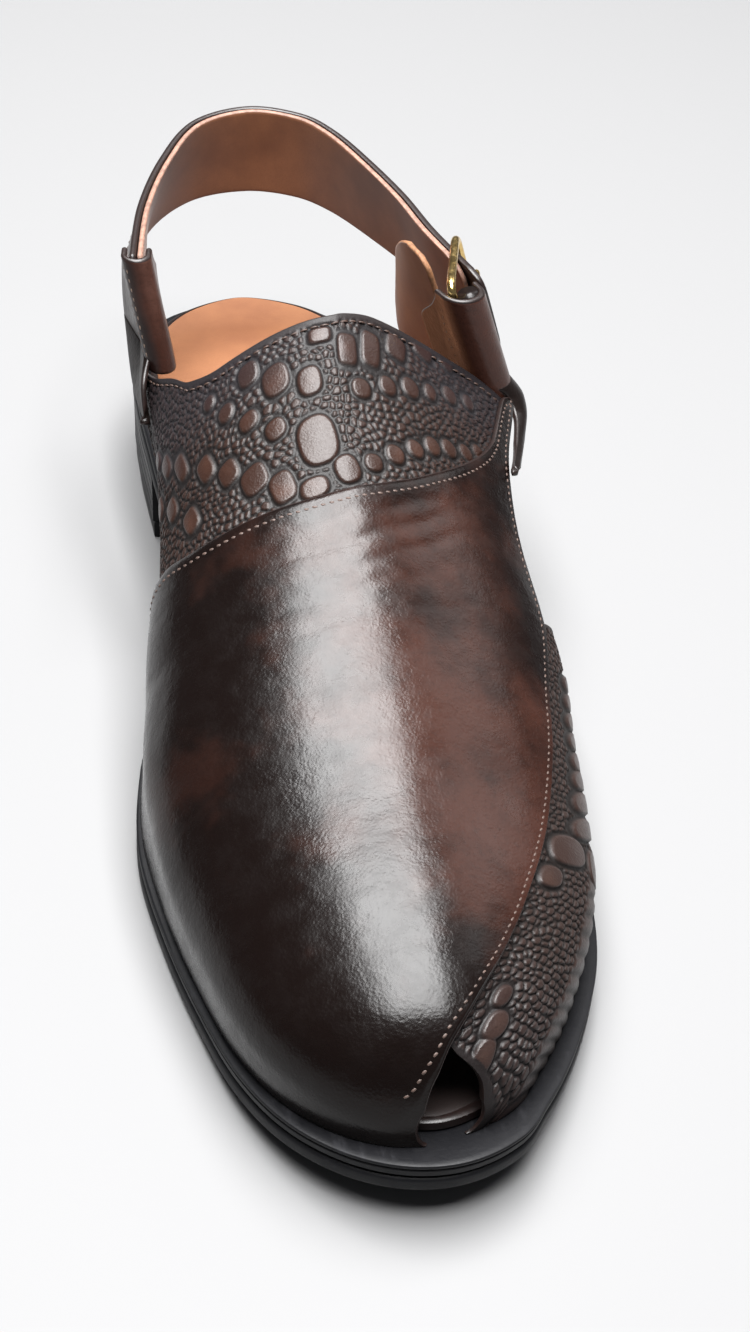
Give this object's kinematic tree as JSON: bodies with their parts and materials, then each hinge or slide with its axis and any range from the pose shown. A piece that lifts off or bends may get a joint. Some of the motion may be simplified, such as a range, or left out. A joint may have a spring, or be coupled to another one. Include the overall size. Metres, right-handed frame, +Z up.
{
  "type": "peshawari chappal sandal",
  "caption": "Left leather sandal with a closed smooth vamp, embossed instep and side panels, a small toe opening, a low heel and a buckled ankle strap.",
  "frame": {"origin": "bottom centre of the bounding box, on the floor the shoe stands on", "axes": "+Y from the toe to the heel, +X towards the outer side of the foot, +Z up"},
  "size_m": [0.111, 0.3, 0.0924],
  "materials": {
    "outsole": "satin black rubber, fine side ribs",
    "midsole": "satin black edge with a glossier bead at its rim",
    "heel": "satin black heel stack",
    "heel_top_lift": "matte black top lift",
    "insole": "tan leather, matte with a soft nap",
    "upper": "embossed dark brown leather, satin",
    "vamp": "burnished dark brown leather, polished",
    "ankle_strap": "burnished dark brown leather, satin",
    "ankle_strap_lining": "tan-brown lining leather",
    "strap_tab": "dark brown leather, satin",
    "buckle_chape": "burnished reddish-brown leather",
    "buckle_frame": "polished gold-coloured metal",
    "buckle_prong": "polished gold-coloured metal",
    "buckle_guard": "tan suede"
  },
  "bodies": {
    "root": {"outsole": "outsole", "midsole": "midsole", "heel": "heel", "heel_top_lift": "heel_top_lift", "insole": "insole", "upper": "upper", "vamp": "vamp", "ankle_strap": "ankle_strap", "ankle_strap_lining": "ankle_strap_lining", "strap_tab": "strap_tab", "buckle_chape": "buckle_chape", "buckle_frame": "buckle_frame", "buckle_prong": "buckle_prong", "buckle_guard": "buckle_guard"}
  },
  "joints": []
}
